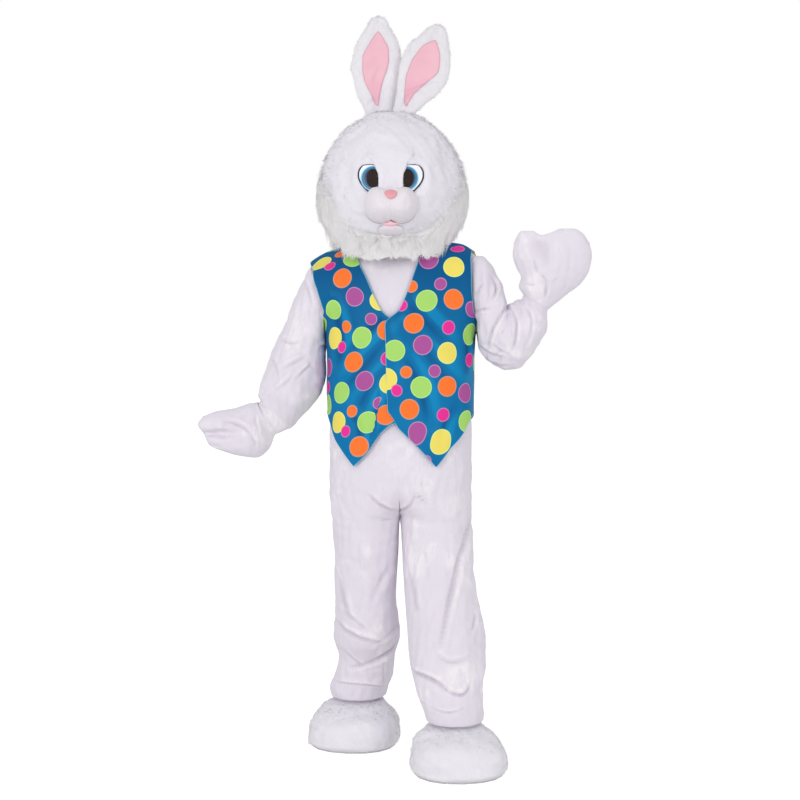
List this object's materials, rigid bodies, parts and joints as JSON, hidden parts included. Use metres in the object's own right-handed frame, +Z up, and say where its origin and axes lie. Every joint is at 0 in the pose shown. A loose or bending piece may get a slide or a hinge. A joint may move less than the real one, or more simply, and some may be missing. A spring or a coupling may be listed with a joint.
{
  "type": "rabbit mascot costume",
  "caption": "White plush rabbit mascot costume, worn pose: jumpsuit, polka dot waistcoat, mitts, shoe covers and a furry head with upright pink-lined ears.",
  "frame": {"origin": "the base of the wearer's neck, midway between the shoulders, where the costume is carried", "axes": "+Z up, -Y the way the costume faces, +X the wearer's left"},
  "size_m": [1.0797, 0.5759, 2.0745],
  "materials": {
    "plush_white": "short crushed plush with a silky pile",
    "long_fur": "long soft white fur",
    "satin_blue": "blue satin with a polka dot print",
    "satin_pink": "pink satin",
    "nose_pink": "pink plush",
    "eye_white": "smooth, slightly glossy",
    "iris_blue": "smooth, slightly glossy",
    "screen_black": "black open mesh",
    "sole_grey": "matte grip sole",
    "tape_white": "woven tape"
  },
  "bodies": {
    "root": {"chin": "plush_white", "cover_left_sole": "sole_grey", "cover_left_upper": "plush_white", "cover_right_sole": "sole_grey", "cover_right_upper": "plush_white", "ear_left": "plush_white", "ear_lining_left": "satin_pink", "ear_lining_right": "satin_pink", "ear_right": "plush_white", "eye_left": "eye_white", "eye_right": "eye_white", "head_back": "plush_white", "head_face": "plush_white", "iris_left": "iris_blue", "iris_right": "iris_blue", "lip": "satin_pink", "mitt_left_back": "plush_white", "mitt_left_palm": "plush_white", "mitt_right_back": "plush_white", "mitt_right_palm": "plush_white", "muzzle_left": "plush_white", "muzzle_right": "plush_white", "nose": "nose_pink", "pupil_left": "screen_black", "pupil_right": "screen_black", "ruff_left": "long_fur", "ruff_right": "long_fur", "sleeve_left": "plush_white", "sleeve_right": "plush_white", "suit_back_left": "plush_white", "suit_back_right": "plush_white", "suit_front_left": "plush_white", "suit_front_right": "plush_white", "suit_zip": "tape_white", "vest_back": "satin_blue", "vest_front_left": "satin_blue", "vest_front_right": "satin_blue"}
  },
  "joints": []
}
